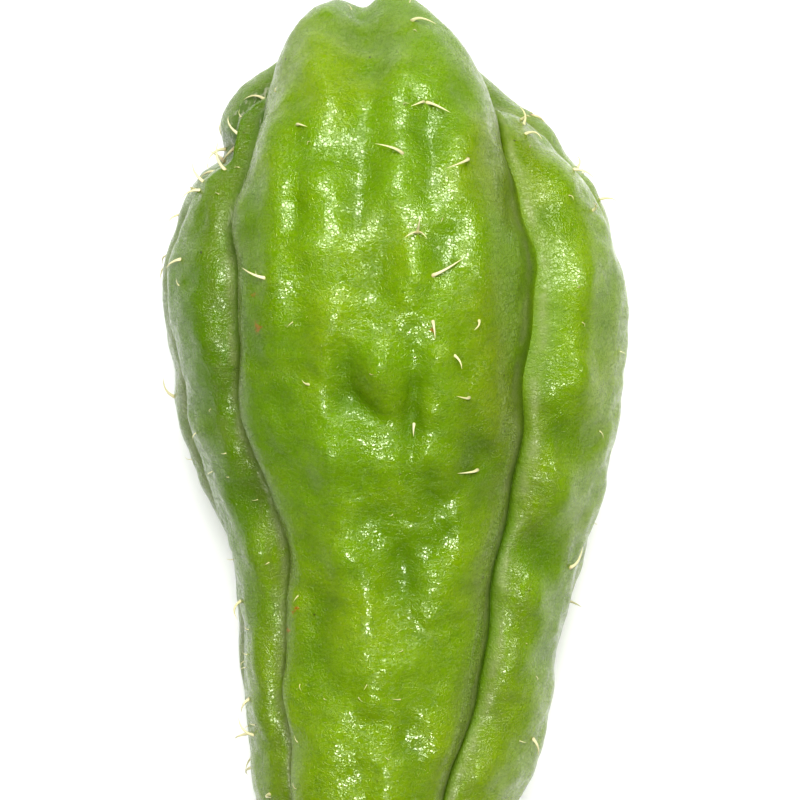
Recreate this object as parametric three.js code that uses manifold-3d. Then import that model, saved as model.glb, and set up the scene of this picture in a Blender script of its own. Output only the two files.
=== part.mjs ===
// Chayote squash, picked and laid on its side.
// Millimetres, +Z up. The blossom end points to +Y, the stem end to -Y.

import * as THREE from "three";
import { mergeVertices } from "three/addons/utils/BufferGeometryUtils.js";
import Module from "manifold-3d";

const wasm = await Module();
wasm.setup();

// Middle of the whole fruit's box before it is moved onto the origin
const MIDDLE = { x: -1.474, y: -10.306 };

// How far the underside is pressed flat where it lies
const SINK = 2.1;

// Rows of points along the skin, from the stem pit round to the blossom cleft
const ROWS = 58;

// Sections from the floor of the stem pit to the floor of the blossom cleft:
// along, half width, half height, middle x, middle z, furrow depth, groove depth, relief share, reach share
const SECTIONS = [
  [-79.5, 3.4, 3.4, -3.2, 22.0, 0.0, 0.0, 0.0, 0.0],
  [-83.0, 4.4, 4.2, -3.2, 22.0, 0.3, 0.0, 0.1, 0.0],
  [-87.0, 10.5, 9.5, -3.2, 22.0, 2.2, 0.3, 0.4, 0.0],
  [-83.5, 18.6, 16.5, -3.2, 22.0, 3.6, 0.5, 0.8, 0.0],
  [-73.0, 24.0, 21.0, -3.0, 22.3, 4.2, 0.5, 1.0, 0.0],
  [-54.0, 29.2, 23.2, -0.8, 23.6, 4.6, 0.4, 1.0, 0.0],
  [-29.0, 33.6, 26.2, 0.8, 26.5, 5.2, 0.4, 1.0, 0.0],
  [-5.0, 39.8, 31.2, 0.2, 31.2, 5.8, 0.5, 1.0, 0.0],
  [18.0, 42.8, 34.6, -0.7, 34.6, 6.2, 0.4, 1.0, 0.06],
  [35.0, 39.4, 33.8, -1.2, 35.2, 6.4, 0.9, 1.0, 0.3],
  [50.0, 32.2, 28.5, -1.8, 35.8, 6.0, 2.6, 1.0, 0.75],
  [61.0, 24.6, 20.5, -4.6, 36.0, 4.2, 4.0, 1.0, 1.0],
  [67.0, 14.8, 11.5, -5.6, 36.0, 2.6, 3.6, 0.9, 1.0],
  [65.5, 12.0, 4.6, -5.0, 35.5, 0.8, 0.8, 0.2, 1.0],
  [60.0, 11.0, 1.8, -5.0, 35.0, 0.1, 0.0, 0.0, 0.5],
  [54.0, 10.0, 0.9, -5.0, 34.5, 0.0, 0.0, 0.0, 0.0],
];

// Where the five furrows run at each section, in degrees from +X over the top:
// right front, left front, left back, underside, right back
const FURROW_ANGLES = [
  [51, 139, 207, 265, 336],
  [52, 139, 204, 265, 338],
  [54, 140, 200, 266, 341],
  [57, 140, 195, 267, 345],
  [58, 139, 188, 268, 349],
  [57, 137, 182, 269, 354],
  [55, 134, 178, 270, 358],
  [54, 138, 175, 270, 361],
  [49, 137, 172, 270, 362],
  [49, 142, 171, 270, 362],
  [41, 152, 168, 271, 364],
  [27, 161, 173, 272, 366],
  [22, 164, 175, 272, 362],
  [18, 166, 178, 272, 359],
  [16, 167, 180, 272, 358],
  [14, 168, 184, 272, 356],
];

// Share of the furrow depth, and how far each furrow runs on past the blossom end
const FURROWS = [
  { name: "right front", share: 0.95, reach: -6.0 },
  { name: "left front", share: 1.1, reach: -7.0 },
  { name: "left back", share: 0.75, reach: -8.0 },
  { name: "underside", share: 1.0, reach: -8.0 },
  { name: "right back", share: 0.75, reach: -8.0 },
];

// The lobe between each furrow and the next. A higher square gives a flatter lobe, a higher wall a softer edge.
const LOBES = [
  { name: "front", columns: 18, rise: 1.3, groove: 1.0, reach: 4.0, first: [4.0, 0.9], last: [9.0, 1.0] },
  { name: "left", columns: 8, rise: -1.3, groove: 0.0, reach: -8.0, first: [2.4, 0.6], last: [5.0, 0.9] },
  { name: "back left", columns: 12, rise: 0.6, groove: 0.7, reach: -4.5, first: [3.4, 0.7], last: [3.0, 0.6] },
  { name: "back right", columns: 12, rise: 0.6, groove: 0.7, reach: -5.5, first: [3.0, 0.6], last: [3.4, 0.7] },
  { name: "right", columns: 8, rise: -0.6, groove: 0.0, reach: -9.0, first: [5.0, 0.9], last: [2.4, 0.6] },
];

const GROOVE_WIDTH = 0.18;

// Where a furrow is softer: middle and half length along the fruit, share of the square left, extra wall
const SOFT_FURROWS = [
  { name: "right front", middle: 26, half: 24, square: 1.0, wall: 0.8 },
  { name: "left front", middle: 55, half: 20, square: 0.3, wall: 0.3 },
];

// The furrows wander by two waves along the fruit, in degrees of turn and radians per mm
const WANDER = [
  { turn: 1.5, pace: 0.15, shift: 2.1, start: 0 },
  { turn: 0.7, pace: 0.37, shift: 1.3, start: 1 },
];

// Lumps and dents of the upper side: x, y, half length, half width, turn in degrees, rise
const UPPER_SWELLS = [
  [-12.5, 56.0, 8.0, 4.5, 8, 1.5],
  [-1.0, 54.0, 7.0, 3.4, -14, 1.5],
  [6.0, 57.0, 6.0, 3.4, -20, 1.2],
  [12.5, 45.0, 6.0, 4.0, -35, 1.5],
  [-21.4, 38.0, 7.5, 2.4, 4, 1.1],
  [-21.6, 20.5, 6.5, 2.6, -5, 1.2],
  [-17.8, 33.5, 6.5, 1.8, -6, -0.8],
  [-12.5, 42.5, 3.2, 4.5, 20, -0.6],
  [-12.8, 48.5, 5.0, 5.0, 0, 0.9],
  [-13.6, 36.0, 5.2, 5.2, 0, 1.2],
  [-14.2, 26.0, 5.2, 4.8, 0, 1.2],
  [-7.4, 34.5, 6.5, 3.0, -10, -1.3],
  [5.4, 44.5, 6.0, 2.6, 10, -1.0],
  [-0.6, 37.0, 6.5, 3.6, 6, 1.1],
  [8.0, 26.0, 5.0, 3.0, -30, -1.1],
  [11.0, 36.5, 5.5, 3.8, 14, 1.1],
  [13.0, 26.5, 5.5, 3.8, -6, 1.1],
  [14.0, 17.0, 8.0, 3.6, 8, 1.5],
  [2.0, 20.0, 7.0, 3.2, -6, 1.6],
  [-4.0, 22.0, 7.0, 2.8, -14, -1.1],
  [-12.0, 12.0, 7.0, 4.2, 0, 1.6],
  [-9.5, 4.0, 8.0, 2.4, 4, -1.5],
  [-5.5, -2.0, 4.5, 2.2, 52, -1.3],
  [-3.5, 6.0, 6.5, 3.2, 0, 1.9],
  [2.2, -2.0, 9.0, 1.6, -2, -1.5],
  [7.5, 5.0, 7.0, 3.0, 0, 1.4],
  [-12.5, -9.0, 7.0, 4.0, 0, 1.8],
  [-2.0, -12.0, 6.0, 3.4, 0, 0.9],
  [14.0, -11.0, 6.0, 3.4, 0, -2.1],
  [16.0, 1.0, 7.0, 3.6, 0, 1.4],
  [6.5, -19.0, 5.5, 4.0, 0, -1.4],
  [-9.5, -28.5, 7.0, 4.5, 12, 1.6],
  [11.0, -28.0, 5.5, 3.6, -20, 1.2],
  [1.0, -33.0, 7.0, 3.0, 0, -1.1],
  [-14.5, -40.0, 7.0, 3.4, 0, -1.1],
  [-5.0, -47.0, 9.0, 4.5, 12, 1.5],
  [-13.0, -62.0, 7.0, 3.4, 0, 1.2],
  [2.0, -60.0, 8.0, 3.2, 10, -1.0],
  [-3.0, -72.0, 7.0, 3.5, 0, 1.1],
  [7.5, -63.0, 6.0, 3.2, 0, 1.1],
  [-31.5, 32.0, 7.0, 3.0, 0, 1.6],
  [-33.0, 13.0, 9.0, 4.0, 0, 1.2],
  [-28.5, -8.0, 6.0, 3.5, 10, 1.6],
  [-26.5, -18.0, 4.0, 3.0, 0, -1.1],
  [-24.5, -28.5, 6.5, 3.0, 12, 1.9],
  [-23.5, -49.0, 6.5, 3.0, 5, 1.8],
  [-23.5, -57.0, 4.0, 3.0, 0, 1.1],
  [28.0, 39.0, 5.0, 4.0, 0, 2.0],
  [31.0, 21.0, 6.0, 3.0, -8, 2.0],
  [27.5, 32.0, 4.0, 4.0, 0, -1.2],
  [30.5, 3.5, 6.5, 3.6, 8, 2.1],
  [29.0, -6.0, 4.0, 4.5, 0, -1.5],
  [27.5, -16.0, 6.0, 3.4, 10, 1.8],
  [24.0, -27.0, 4.0, 4.5, 0, -1.4],
  [23.0, -35.0, 5.0, 3.4, 0, 1.8],
  [19.0, -48.0, 6.0, 3.2, -10, 1.5],
  [15.0, -66.0, 7.0, 2.6, -12, 1.2],
  [-34.5, 44.6, 2.2, 4.6, -26, -4.2],
];

// Lumps and dents of the outline: x, y, z, half length, half width, rise
const SIDE_SWELLS = [
  [-34.0, 45.2, 34.0, 2.6, 8.0, -4.6],
  [-30.0, 58.0, 31.0, 5.0, 7.0, 1.0],
  [-21.0, 68.0, 39.0, 5.5, 8.0, -4.4],
  [-24.5, 63.0, 43.0, 8.0, 7.0, -4.2],
  [13.5, 65.0, 42.0, 6.0, 7.0, -2.6],
  [29.0, 51.0, 36.0, 5.0, 8.0, 1.8],
  [20.0, 54.0, 40.0, 2.2, 6.0, -2.0],
  [38.0, 40.0, 38.0, 3.5, 7.0, 1.2],
  [42.0, 27.0, 36.0, 3.0, 7.0, -0.9],
  [40.0, -5.0, 32.0, 5.0, 7.0, 1.1],
  [-42.0, 24.0, 36.0, 6.0, 7.0, 1.0],
  [-39.0, -4.0, 32.0, 5.0, 7.0, 1.2],
  [-33.0, -24.0, 28.0, 4.0, 6.0, -0.9],
];

// Round lumps and dents that are drawn for the sides and the underside
const DRAWN_SWELLS = 190;

// Spines of the upper side: foot x, foot y, lean x, lean y, height of the tip over the skin
const UPPER_SPINES = [
  [4.3, 51.3, -2.8, -1.2, 1.8],
  [4.3, 51.3, 4.0, -2.2, 1.8],
  [0.9, 42.1, -5.3, 0.9, 2.0],
  [12.2, 41.4, -5.6, -2.3, 2.0],
  [3.0, 28.7, -2.5, -1.7, 2.2],
  [3.0, 28.7, 0.2, 2.0, 2.6],
  [3.0, 28.7, 1.4, -1.8, 2.4],
  [5.2, 20.9, 4.9, 3.5, 2.0],
  [-23.0, 20.7, -2.8, 2.1, 1.8],
  [-17.9, 47.5, 2.6, -1.0, 1.4],
  [13.7, 13.7, -1.6, -1.2, 1.6],
  [9.4, 7.8, 0.2, -2.2, 1.6],
  [12.2, 0.3, -3.2, 0.9, 1.6],
  [13.9, -12.2, -4.4, -0.2, 1.6],
  [5.6, 13.6, 0.2, -3.0, 1.2],
  [2.4, -4.0, 0.1, -1.8, 1.2],
  [1.7, 66.5, 4.4, -2.6, 1.8],
  [-15.7, 2.6, -0.6, 1.0, 1.4],
  [-38.6, 25.0, -1.6, -1.8, 1.4],
  [-31.5, 43.0, -2.6, 1.6, 1.6],
  [-29.5, 45.5, -1.4, -3.0, 1.6],
];

// Spines that are drawn for the sides and both ends
const DRAWN_SPINES = { tries: 110, from: 2.6, to: 12.2, lowest: 7, upTo: 0.5, length: [2.6, 5.2], lift: [1.2, 2.4] };

// A spine's half thickness at the skin, how deep its root sits, and its sides
const SPINE = { thick: 0.5, root: 1.6, sides: 4 };

// Anything smaller is dropped where spines join the skin
const FINEST = 0.02;

// Cut stump of the stem, in the pit of the stem end
const STUMP = { deep: -79.9, out: -93.0, radius: 2.7, ridges: 5, ridge: 0.25, flare: 0.5, columns: 20, rows: 6 };

const SKIN_COLOUR = 0x7cad1d;
const STUMP_COLOUR = 0x9a9160;

// A repeatable draw between 0 and 1
function draw(index) {
  const value = Math.sin(index * 12.9898 + 4.137) * 43758.5453;
  return value - Math.floor(value);
}

function mix(low, high, share) {
  return low + (high - low) * share;
}

// Smooth curve through the rows of a table, with the row number as its length
function spline(table, t) {
  const last = table.length - 1;
  const i = Math.min(Math.max(Math.floor(t), 0), last - 1);
  const f = t - i;
  const [a, b, c, d] = [-1, 0, 1, 2].map((step) => table[Math.min(Math.max(i + step, 0), last)]);
  return b.map((value, k) => {
    const bend = 2 * a[k] - 5 * value + 4 * c[k] - d[k] + f * (3 * (value - c[k]) + d[k] - a[k]);
    return value + 0.5 * f * (c[k] - a[k] + f * bend);
  });
}

// Section numbers that space the rows evenly along the skin
function evenRows(count) {
  const steps = 3000;
  const end = SECTIONS.length - 1;
  const run = [0];
  let before = spline(SECTIONS, 0);
  for (let step = 1; step <= steps; step += 1) {
    const now = spline(SECTIONS, (end * step) / steps);
    const out = (now[1] + now[2] - before[1] - before[2]) / 2;
    run.push(run.at(-1) + Math.hypot(now[0] - before[0], out));
    before = now;
  }
  const rows = [];
  let step = 0;
  for (let row = 0; row < count; row += 1) {
    const length = (run.at(-1) * row) / (count - 1);
    while (step < steps - 1 && run[step + 1] < length) {
      step += 1;
    }
    const share = (length - run[step]) / (run[step + 1] - run[step]);
    rows.push((end * (step + share)) / steps);
  }
  return rows;
}

// Middle and size of every drawn lump and dent
function drawSwells() {
  return Array.from({ length: DRAWN_SWELLS }, (_, i) => {
    const [along, wide, high, x, z] = spline(SECTIONS, 2.5 + 10 * draw(5 * i));
    const angle = 2 * Math.PI * draw(5 * i + 1);
    const size = 4.0 + 3.5 * draw(5 * i + 2);
    const sign = draw(5 * i + 4) > 0.42 ? 1 : -1;
    return {
      middle: new THREE.Vector3(x + wide * Math.cos(angle), along, z + high * Math.sin(angle)),
      size,
      rise: sign * (0.45 + 0.75 * draw(5 * i + 3)),
    };
  });
}

const drawnSwells = drawSwells();

// Height of the lumps and dents at a point whose skin faces along out
function swell(point, out) {
  const up = Math.min(Math.max(out.z * 1.6, 0), 1);
  let upper = 0;
  for (const [x, y, long, across, turn, rise] of UPPER_SWELLS) {
    const angle = THREE.MathUtils.degToRad(turn);
    const [dx, dy] = [point.x - x, point.y - y];
    const alongShare = (dy * Math.cos(angle) - dx * Math.sin(angle)) / long;
    const acrossShare = (dx * Math.cos(angle) + dy * Math.sin(angle)) / across;
    upper += rise * Math.exp(-(alongShare ** 2 + acrossShare ** 2));
  }
  let side = 0;
  for (const [x, y, z, long, round, rise] of SIDE_SWELLS) {
    const away = ((point.y - y) / long) ** 2 + ((point.x - x) ** 2 + (point.z - z) ** 2) / round ** 2;
    side += rise * Math.exp(-away);
  }
  let drawn = 0;
  for (const { middle, size, rise } of drawnSwells) {
    const away = (point.x - middle.x) ** 2 + ((point.y - middle.y) / 1.5) ** 2 + (point.z - middle.z) ** 2;
    drawn += rise * Math.exp(-away / size ** 2);
  }
  return upper * up + side + drawn * (1 - 0.6 * up);
}

// Angle of one furrow at a section
function furrowAngle(index, angles, along, relief) {
  let turn = 0;
  for (const wave of WANDER) {
    turn += wave.turn * Math.sin(wave.pace * along + wave.shift * index + wave.start);
  }
  return angles[index] + turn * relief;
}

// Direction in which the smooth body faces at a section and an angle
function facing(t, angle) {
  const step = 0.02;
  const before = spline(SECTIONS, t - step);
  const after = spline(SECTIONS, t + step);
  const [, wide, high] = spline(SECTIONS, t);
  const slope = after.map((value, k) => value - before[k]);
  const along = new THREE.Vector3(
    slope[3] + slope[1] * Math.cos(angle), slope[0], slope[4] + slope[2] * Math.sin(angle));
  const around = new THREE.Vector3(-wide * Math.sin(angle), 0, high * Math.cos(angle));
  return along.cross(around).normalize();
}

// Point of the skin at section t of a lobe, with u from -1 at its first furrow to 1 at its last
function skin(t, lobe, u) {
  const [along, wide, high, x, z, furrow, groove, reliefShare, reachShare] = spline(SECTIONS, t);
  const relief = Math.min(Math.max(reliefShare, 0), 1);
  const next = (lobe + 1) % LOBES.length;
  const share = (u + 1) / 2;
  const angles = spline(FURROW_ANGLES, t);
  const firstAngle = furrowAngle(lobe, angles, along, relief);
  const lastAngle = furrowAngle(next, angles, along, relief) + (next === 0 ? 360 : 0);
  const angle = THREE.MathUtils.degToRad(mix(firstAngle, lastAngle, share));
  const { rise, groove: grooveShare, reach, first, last } = LOBES[lobe];
  const [square, wall] = u < 0 ? first : last;
  const nearest = FURROWS[u < 0 ? lobe : next].name;
  const soft = SOFT_FURROWS.find(({ name }) => name === nearest);
  const near = soft ? Math.exp(-(((along - soft.middle) / soft.half) ** 2)) : 0;
  const softSquare = soft ? mix(square, square * soft.square, near) : square;
  const softWall = soft ? wall + soft.wall * near : wall;
  const bulge = Math.max(1 - Math.abs(u) ** softSquare, 0) ** softWall;
  const furrowReach = mix(FURROWS[lobe].reach, FURROWS[next].reach, share);
  const pushed = mix(furrowReach, reach, (1 - u ** 4) ** 2);
  const point = new THREE.Vector3(
    x + wide * Math.cos(angle), along + pushed * reachShare, z + high * Math.sin(angle));
  const out = facing(t, angle);
  const depth = Math.max(furrow, 0) * mix(FURROWS[lobe].share, FURROWS[next].share, share);
  const line = Math.max(groove, 0) * grooveShare * Math.exp(-((u / GROOVE_WIDTH) ** 2));
  const height = rise * relief * bulge - depth * (1 - bulge) - line;
  point.addScaledVector(out, height);
  point.addScaledVector(out, swell(point, out) * relief * Math.sqrt(bulge));
  point.z = Math.max(point.z - SINK, 0);
  return { point, out };
}

// Closed shape over rows of points that run round it, with a point at each end
function loft(rows, start, end) {
  const columns = rows[0].length;
  const points = [...rows.flat(), start, end];
  const startIndex = points.length - 2;
  const endIndex = points.length - 1;
  const lastRow = (rows.length - 1) * columns;
  const faces = [];
  for (let column = 0; column < columns; column += 1) {
    const next = (column + 1) % columns;
    for (let row = 0; row < lastRow; row += columns) {
      faces.push(row + column, row + columns + column, row + next);
      faces.push(row + next, row + columns + column, row + columns + next);
    }
    faces.push(startIndex, column, next);
    faces.push(endIndex, lastRow + next, lastRow + column);
  }
  const geometry = new THREE.BufferGeometry().setFromPoints(points);
  geometry.setIndex(faces);
  return geometry;
}

function middleOf(row) {
  const sum = row.reduce((total, point) => total.add(point), new THREE.Vector3());
  return sum.divideScalar(row.length);
}

function bodyGeometry() {
  const rows = evenRows(ROWS).map((t) => LOBES.flatMap(({ columns }, lobe) =>
    Array.from({ length: columns }, (_, column) => {
      const u = Math.sin(Math.PI * (column / columns - 0.5));
      return skin(t, lobe, u).point;
    })));
  return loft(rows, middleOf(rows[0]), middleOf(rows.at(-1)));
}

// One bent, pointed spine: lean is its way along the skin, lift the height of its tip
function spineGeometry(foot, out, lean, lift) {
  const tip = foot.clone().add(lean).addScaledVector(out, lift);
  const bend = foot.clone().addScaledVector(lean, 0.45).addScaledVector(out, lift * 0.7);
  const root = foot.clone().addScaledVector(out, -SPINE.root);
  const stations = [[root, 1.2], [foot, 1.0], [bend, 0.5]];
  const direction = lean.clone().addScaledVector(out, lift + SPINE.root).normalize();
  const side = new THREE.Vector3().crossVectors(direction, out).normalize();
  const over = new THREE.Vector3().crossVectors(side, direction);
  const rows = stations.map(([place, share]) => Array.from({ length: SPINE.sides }, (_, index) => {
    const angle = (2 * Math.PI * index) / SPINE.sides;
    return place.clone()
      .addScaledVector(side, SPINE.thick * share * Math.cos(angle))
      .addScaledVector(over, SPINE.thick * share * Math.sin(angle));
  }));
  return loft(rows, root, tip);
}

// Spines of the upper side, let down onto the skin from above
function upperSpines(body) {
  const down = new THREE.Vector3(0, 0, -1);
  return UPPER_SPINES.map(([x, y, leanX, leanY, lift]) => {
    const ray = new THREE.Raycaster(new THREE.Vector3(x, y, 200), down);
    const [hit] = ray.intersectObject(body);
    const out = hit.face.normal.clone();
    const lean = new THREE.Vector3(leanX, leanY, 0);
    lean.z = -(leanX * out.x + leanY * out.y) / out.z;
    return spineGeometry(hit.point, out, lean, lift);
  });
}

// Spines of the sides and both ends, kept clear of the ground
function drawnSpines() {
  const { tries, from, to, lowest, upTo } = DRAWN_SPINES;
  const rows = evenRows(400).filter((t) => t > from && t < to);
  const spines = [];
  for (let i = 0; i < tries; i += 1) {
    const t = rows[Math.floor(rows.length * draw(900 + 6 * i))];
    const lobe = Math.floor(LOBES.length * draw(901 + 6 * i));
    const u = 1.5 * draw(902 + 6 * i) - 0.75;
    const { point, out } = skin(t, lobe, u);
    const turn = 2 * Math.PI * draw(903 + 6 * i);
    const length = mix(...DRAWN_SPINES.length, draw(904 + 6 * i));
    const lift = mix(...DRAWN_SPINES.lift, draw(905 + 6 * i));
    const side = new THREE.Vector3(0, 1, 0).cross(out).normalize();
    const fore = out.clone().cross(side);
    const lean = side.multiplyScalar(length * Math.cos(turn)).addScaledVector(fore, length * Math.sin(turn));
    if (out.z < upTo && point.z > lowest) {
      spines.push(spineGeometry(point, out, lean, lift));
    }
  }
  return spines;
}

function solid(geometry) {
  geometry.deleteAttribute("normal");
  geometry.deleteAttribute("uv");
  const merged = mergeVertices(geometry);
  const mesh = new wasm.Mesh({
    numProp: 3,
    vertProperties: new Float32Array(merged.attributes.position.array),
    triVerts: new Uint32Array(merged.index.array),
  });
  return new wasm.Manifold(mesh);
}

function geometryOf(manifold) {
  const { vertProperties, triVerts } = manifold.getMesh();
  const geometry = new THREE.BufferGeometry();
  geometry.setAttribute("position", new THREE.BufferAttribute(vertProperties, 3));
  geometry.setIndex(new THREE.BufferAttribute(triVerts, 1));
  geometry.computeVertexNormals();
  return geometry;
}

// The fruit with its spines grown into the skin, as one solid
function fruit() {
  const geometry = bodyGeometry();
  geometry.computeVertexNormals();
  const body = new THREE.Mesh(geometry);
  const spines = [...upperSpines(body), ...drawnSpines()];
  const whole = spines.reduce((sum, spine) => sum.add(solid(spine)), solid(geometry)).simplify(FINEST);
  const material = new THREE.MeshStandardMaterial({ color: SKIN_COLOUR, roughness: 0.42, metalness: 0 });
  const mesh = new THREE.Mesh(geometryOf(whole), material);
  mesh.name = "fruit";
  return mesh;
}

// The ridged stump of the stem, flaring a little towards its cut end
function stemStump() {
  const [, , , x, z] = SECTIONS[0];
  const rows = Array.from({ length: STUMP.rows }, (_, row) => {
    const share = row / (STUMP.rows - 1);
    const radius = STUMP.radius + STUMP.flare * (1 - share) ** 3;
    return Array.from({ length: STUMP.columns }, (_, column) => {
      const angle = (2 * Math.PI * column) / STUMP.columns;
      const reach = radius + STUMP.ridge * Math.cos(STUMP.ridges * angle);
      return new THREE.Vector3(
        x + reach * Math.cos(angle), mix(STUMP.out, STUMP.deep, share), z - SINK + reach * Math.sin(angle));
    });
  });
  const geometry = loft(rows, middleOf(rows[0]), middleOf(rows.at(-1)));
  geometry.computeVertexNormals();
  const material = new THREE.MeshStandardMaterial({ color: STUMP_COLOUR, roughness: 0.85, metalness: 0 });
  const mesh = new THREE.Mesh(geometry, material);
  mesh.name = "stem_stump";
  return mesh;
}

const chayote = new THREE.Group();
chayote.position.set(-MIDDLE.x, -MIDDLE.y, 0);
chayote.add(fruit(), stemStump());

export default chayote;
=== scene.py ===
"""Chayote squash on a pale floor: fine skin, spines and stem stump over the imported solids.

Metres. +Z is up and +Y points along the fruit towards the blossom end. The form follows the same
sections, furrows and lobes as the solid, in millimetres, and is turned into metres at the end.
"""
import math

import bpy
import numpy as np
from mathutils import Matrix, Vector
from mathutils.bvhtree import BVHTree


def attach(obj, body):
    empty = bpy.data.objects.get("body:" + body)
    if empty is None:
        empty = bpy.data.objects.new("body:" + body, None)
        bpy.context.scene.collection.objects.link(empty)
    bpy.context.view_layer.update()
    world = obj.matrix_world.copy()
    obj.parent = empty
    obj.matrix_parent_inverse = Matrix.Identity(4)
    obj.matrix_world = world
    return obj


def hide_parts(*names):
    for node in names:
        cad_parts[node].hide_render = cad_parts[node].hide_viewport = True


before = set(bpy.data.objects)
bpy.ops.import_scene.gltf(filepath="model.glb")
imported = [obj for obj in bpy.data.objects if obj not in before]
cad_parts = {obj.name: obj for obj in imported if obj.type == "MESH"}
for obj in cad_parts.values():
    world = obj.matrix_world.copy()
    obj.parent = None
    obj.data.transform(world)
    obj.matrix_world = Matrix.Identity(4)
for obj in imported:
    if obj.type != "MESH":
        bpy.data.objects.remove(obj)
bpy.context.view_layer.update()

MM = 0.001

# Middle of the fruit's box before it is moved onto the origin, in mm
MIDDLE = np.array([-1.474, -10.306, 0.0])

# How far the underside is pressed flat where it lies, in mm
SINK = 2.1

# Rows along the skin and columns across each lobe
ROWS = 310
COLUMNS = [96, 46, 60, 60, 46]

# Sections from the floor of the stem pit to the floor of the blossom cleft, in mm:
# along, half width, half height, middle x, middle z, furrow depth, groove depth, relief share, reach share
SECTIONS = np.array([
    [-79.5, 3.4, 3.4, -3.2, 22.0, 0.0, 0.0, 0.0, 0.0],
    [-83.0, 4.4, 4.2, -3.2, 22.0, 0.3, 0.0, 0.1, 0.0],
    [-87.0, 10.5, 9.5, -3.2, 22.0, 2.2, 0.3, 0.4, 0.0],
    [-83.5, 18.6, 16.5, -3.2, 22.0, 3.6, 0.5, 0.8, 0.0],
    [-73.0, 24.0, 21.0, -3.0, 22.3, 4.2, 0.5, 1.0, 0.0],
    [-54.0, 29.2, 23.2, -0.8, 23.6, 4.6, 0.4, 1.0, 0.0],
    [-29.0, 33.6, 26.2, 0.8, 26.5, 5.2, 0.4, 1.0, 0.0],
    [-5.0, 39.8, 31.2, 0.2, 31.2, 5.8, 0.5, 1.0, 0.0],
    [18.0, 42.8, 34.6, -0.7, 34.6, 6.2, 0.4, 1.0, 0.06],
    [35.0, 39.4, 33.8, -1.2, 35.2, 6.4, 0.9, 1.0, 0.3],
    [50.0, 32.2, 28.5, -1.8, 35.8, 6.0, 2.6, 1.0, 0.75],
    [61.0, 24.6, 20.5, -4.6, 36.0, 4.2, 4.0, 1.0, 1.0],
    [67.0, 14.8, 11.5, -5.6, 36.0, 2.6, 3.6, 0.9, 1.0],
    [65.5, 12.0, 4.6, -5.0, 35.5, 0.8, 0.8, 0.2, 1.0],
    [60.0, 11.0, 1.8, -5.0, 35.0, 0.1, 0.0, 0.0, 0.5],
    [54.0, 10.0, 0.9, -5.0, 34.5, 0.0, 0.0, 0.0, 0.0],
])
ALONG, WIDE, HIGH, MID_X, MID_Z, FURROW, GROOVE, RELIEF, REACH = range(9)

# Where the five furrows run at each section, in degrees from +X over the top:
# right front, left front, left back, underside, right back
FURROW_ANGLES = np.array([
    [51, 139, 207, 265, 336],
    [52, 139, 204, 265, 338],
    [54, 140, 200, 266, 341],
    [57, 140, 195, 267, 345],
    [58, 139, 188, 268, 349],
    [57, 137, 182, 269, 354],
    [55, 134, 178, 270, 358],
    [54, 138, 175, 270, 361],
    [49, 137, 172, 270, 362],
    [49, 142, 171, 270, 362],
    [41, 152, 168, 271, 364],
    [27, 161, 173, 272, 366],
    [22, 164, 175, 272, 362],
    [18, 166, 178, 272, 359],
    [16, 167, 180, 272, 358],
    [14, 168, 184, 272, 356],
], float)

# Share of the furrow depth, and how far each furrow runs on past the blossom end, in mm
FURROW_SHARE = np.array([0.95, 1.1, 0.75, 1.0, 0.75])
FURROW_REACH = np.array([-6.0, -7.0, -8.0, -8.0, -8.0])

# The lobe after each furrow: front, left, back left, back right, right. A square and a wall for each side.
LOBE_RISE = np.array([1.3, -1.3, 0.6, 0.6, -0.6])
LOBE_GROOVE = np.array([1.0, 0.0, 0.7, 0.7, 0.0])
LOBE_REACH = np.array([4.0, -8.0, -4.5, -5.5, -9.0])
FIRST_SIDE = np.array([[4.0, 0.9], [2.4, 0.6], [3.4, 0.7], [3.0, 0.6], [5.0, 0.9]])
LAST_SIDE = np.array([[9.0, 1.0], [5.0, 0.9], [3.0, 0.6], [3.4, 0.7], [2.4, 0.6]])
GROOVE_WIDTH = 0.18

# Where a furrow is softer: its number, middle and half length in mm, share of the square left, extra wall
SOFT_FURROWS = [(0, 26.0, 24.0, 1.0, 0.8), (1, 55.0, 20.0, 0.3, 0.3)]

# The furrows wander by two waves along the fruit: turn in degrees, pace in radians per mm, shift, start
WANDER = [(1.5, 0.15, 2.1, 0.0), (0.7, 0.37, 1.3, 1.0)]

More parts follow.
